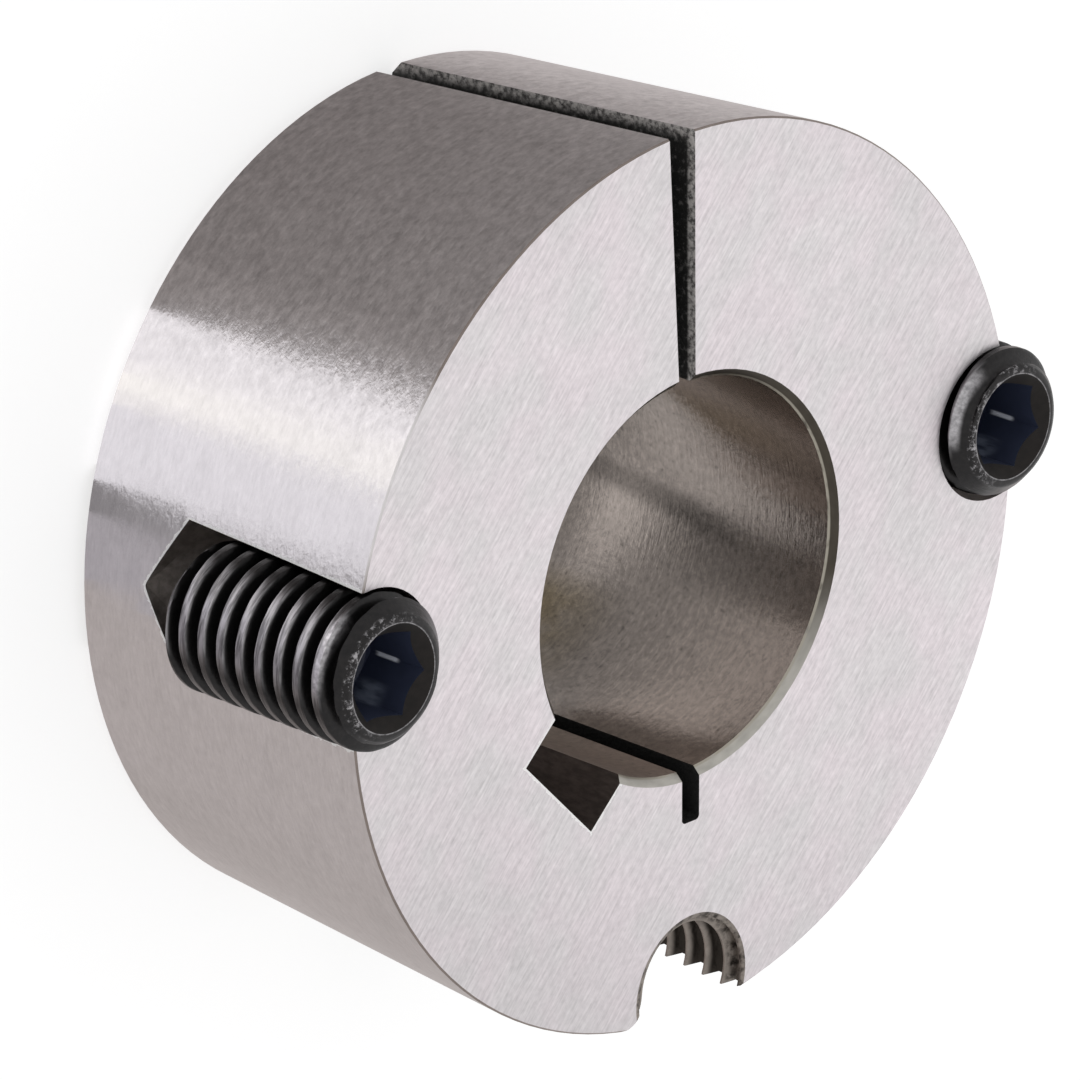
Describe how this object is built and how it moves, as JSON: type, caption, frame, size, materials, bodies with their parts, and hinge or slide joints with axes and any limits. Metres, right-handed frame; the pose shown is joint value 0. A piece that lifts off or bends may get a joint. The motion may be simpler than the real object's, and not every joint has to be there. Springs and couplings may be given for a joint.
{
  "type": "taper lock bushing",
  "caption": "Split tapered shaft bush with a keyed bore, relief saw cut, threaded half-hole and grub screws in blind half-holes on its rim.",
  "frame": {"origin": "centre of the bore in the plane of the small end face, which it stands on", "axes": "+Z along the bore from the small end to the large end, +Y towards the split, +X towards the right grub screw as seen from the large end"},
  "size_m": [0.0635, 0.0568, 0.0273],
  "materials": {
    "machined_metal": "turned taper and bore, ground end faces, bare metal",
    "black_oxide": "black oxide, oiled, bare at the worn thread crests"
  },
  "bodies": {
    "bush": {"taper_bush_body": "machined_metal"},
    "left_screw": {"grub_screw_left": "black_oxide"},
    "right_screw": {"grub_screw_right": "black_oxide"}
  },
  "joints": [
    {"name": "left_screw_travel", "type": "slide", "parent": "bush", "child": "left_screw", "axis": [0, 0, 1], "range_m": [-0.00265, 0.0124]},
    {"name": "right_screw_travel", "type": "slide", "parent": "bush", "child": "right_screw", "axis": [0, 0, 1], "range_m": [-0.00225, 0.01275]}
  ]
}
